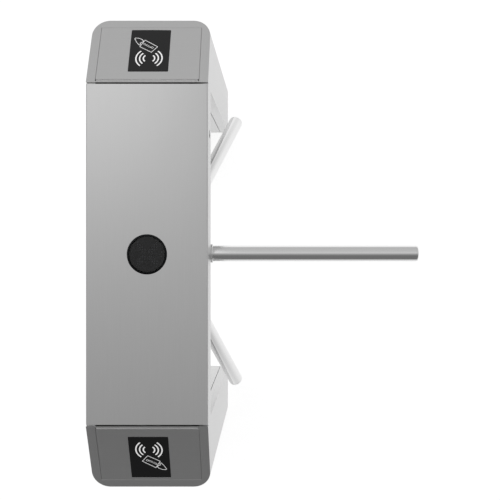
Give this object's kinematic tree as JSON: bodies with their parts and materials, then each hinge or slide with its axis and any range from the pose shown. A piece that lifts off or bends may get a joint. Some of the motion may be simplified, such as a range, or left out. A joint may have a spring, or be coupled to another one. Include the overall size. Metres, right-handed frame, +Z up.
{
  "type": "tripod turnstile",
  "caption": "Bridge-type tripod turnstile: two sheet-steel legs, a bridge box with a flat lid, sloped reader ends and a tilted hub with straight barrier arms.",
  "frame": {"origin": "on the floor, in the middle of the outer anchor hole pattern, which is the middle of the cabinet's footprint", "axes": "+X from the cabinet towards the level arm, +Y along the cabinet, +Z up"},
  "size_m": [0.7795, 1.114, 0.9812],
  "materials": {
    "cabinet_steel": "fine brushed",
    "polished_steel": "bright polished",
    "zinc_steel": "zinc plated",
    "dark_steel": "oiled",
    "cast_alloy": "satin",
    "gear_brass": "machined",
    "dark_window": "gloss",
    "black_plastic": "matte",
    "grey_plastic": "matte",
    "board_green": "satin"
  },
  "bodies": {
    "cabinet": {"bridge_box": "cabinet_steel", "left_leg": "cabinet_steel", "right_leg": "cabinet_steel", "left_base_plate": "cabinet_steel", "right_base_plate": "cabinet_steel", "bridge_bolts": "zinc_steel", "hinge_leaves": "cabinet_steel", "hinge_pins": "cabinet_steel", "cable_glands": "black_plastic", "terminal_strip": "grey_plastic", "control_board": "board_green", "power_supply": "zinc_steel", "main_plate": "zinc_steel", "plate_spacers": "zinc_steel", "bearing_housing": "cast_alloy", "shaft_bearings": "polished_steel", "housing_bolts": "zinc_steel", "rear_plate": "zinc_steel", "rear_pillars": "zinc_steel", "drive_motor": "black_plastic", "rotary_damper": "black_plastic", "position_sensor": "black_plastic", "pawl_posts": "zinc_steel", "left_solenoid": "black_plastic", "right_solenoid": "black_plastic"},
    "rotor": {"rotor_shaft": "dark_steel", "rotor_hub": "cast_alloy", "arm_sockets": "polished_steel", "hub_cap": "polished_steel", "level_arm": "polished_steel", "left_arm": "polished_steel", "right_arm": "polished_steel", "arm_caps": "polished_steel", "arm_screws": "dark_steel", "locking_disc": "dark_steel", "drive_gear": "gear_brass", "encoder_disc": "dark_steel", "shaft_nut": "dark_steel"},
    "motor_pinion": {"motor_pinion": "gear_brass"},
    "damper_pinion": {"damper_pinion": "gear_brass"},
    "left_pawl": {"left_pawl": "dark_steel"},
    "right_pawl": {"right_pawl": "dark_steel"},
    "left_plunger": {"left_plunger": "polished_steel"},
    "right_plunger": {"right_plunger": "polished_steel"},
    "top_cover": {"top_cover": "cabinet_steel", "indicator_bezel": "black_plastic", "indicator_lens": "dark_window", "indicator_board": "board_green"},
    "cover_lock": {"cover_lock": "polished_steel"},
    "left_lid": {"left_reader_lid": "cabinet_steel", "left_window": "dark_window", "left_reader_module": "black_plastic"},
    "right_lid": {"right_reader_lid": "cabinet_steel", "right_window": "dark_window", "right_reader_module": "black_plastic"},
    "left_door": {"left_door": "cabinet_steel"},
    "right_door": {"right_door": "cabinet_steel"},
    "left_door_lock": {"left_door_lock": "polished_steel"},
    "right_door_lock": {"right_door_lock": "polished_steel"}
  },
  "joints": [
    {"name": "rotor_turn", "type": "hinge", "parent": "cabinet", "child": "rotor", "pos_m": [0.029, 0, 0.85], "axis": [0.7071, 0, -0.7071], "continuous": true},
    {"name": "motor_turn", "type": "hinge", "parent": "cabinet", "child": "motor_pinion", "pos_m": [-0.05418, 0.04964, 0.86298], "axis": [0.7071, 0, -0.7071], "continuous": true},
    {"name": "damper_turn", "type": "hinge", "parent": "cabinet", "child": "damper_pinion", "pos_m": [-0.05418, -0.04964, 0.86298], "axis": [0.7071, 0, -0.7071], "continuous": true},
    {"name": "left_pawl_swing", "type": "hinge", "parent": "cabinet", "child": "left_pawl", "pos_m": [-0.03888, 0.0535, 0.85566], "axis": [0.7071, 0, -0.7071], "range_deg": [0, 13], "stiffness_Nm_per_rad": 0.3, "springref_deg": -17.19},
    {"name": "right_pawl_swing", "type": "hinge", "parent": "cabinet", "child": "right_pawl", "pos_m": [-0.03888, -0.0535, 0.85566], "axis": [-0.7071, 0, 0.7071], "range_deg": [0, 13], "stiffness_Nm_per_rad": 0.3, "springref_deg": -17.19},
    {"name": "left_plunger_slide", "type": "slide", "parent": "cabinet", "child": "left_plunger", "axis": [0, -1, 0], "range_m": [0, 0.0136]},
    {"name": "right_plunger_slide", "type": "slide", "parent": "cabinet", "child": "right_plunger", "axis": [0, 1, 0], "range_m": [0, 0.0136]},
    {"name": "cover_open", "type": "hinge", "parent": "cabinet", "child": "top_cover", "pos_m": [-0.138, 0, 0.957], "axis": [0, -1, 0], "range_deg": [0, 80]},
    {"name": "cover_lock_turn", "type": "hinge", "parent": "cabinet", "child": "cover_lock", "pos_m": [0.14, 0.28, 0.928], "axis": [-1, 0, 0], "range_deg": [0, 90]},
    {"name": "left_lid_open", "type": "hinge", "parent": "cabinet", "child": "left_lid", "pos_m": [0, 0.39775, 0.97506], "axis": [1, 0, 0], "range_deg": [0, 75]},
    {"name": "right_lid_open", "type": "hinge", "parent": "cabinet", "child": "right_lid", "pos_m": [0, -0.39775, 0.97506], "axis": [-1, 0, 0], "range_deg": [0, 75]},
    {"name": "left_door_open", "type": "hinge", "parent": "cabinet", "child": "left_door", "pos_m": [-0.115, 0.3875, 0.3655], "axis": [0, 0, -1], "range_deg": [0, 100]},
    {"name": "right_door_open", "type": "hinge", "parent": "cabinet", "child": "right_door", "pos_m": [-0.115, -0.3875, 0.3655], "axis": [0, 0, 1], "range_deg": [0, 100]},
    {"name": "left_door_lock_turn", "type": "hinge", "parent": "left_door", "child": "left_door_lock", "pos_m": [0.089, 0.3855, 0.38], "axis": [0, -1, 0], "range_deg": [0, 90]},
    {"name": "right_door_lock_turn", "type": "hinge", "parent": "right_door", "child": "right_door_lock", "pos_m": [0.089, -0.3855, 0.38], "axis": [0, -1, 0], "range_deg": [0, 90]}
  ],
  "couplings": [
    {"joint": "motor_turn", "follows": "rotor_turn", "ratio": -2.5},
    {"joint": "damper_turn", "follows": "rotor_turn", "ratio": -2.5},
    {"joint": "left_plunger_slide", "follows": "left_pawl_swing", "m_per_rad": 0.0594},
    {"joint": "right_plunger_slide", "follows": "right_pawl_swing", "m_per_rad": 0.0594}
  ]
}
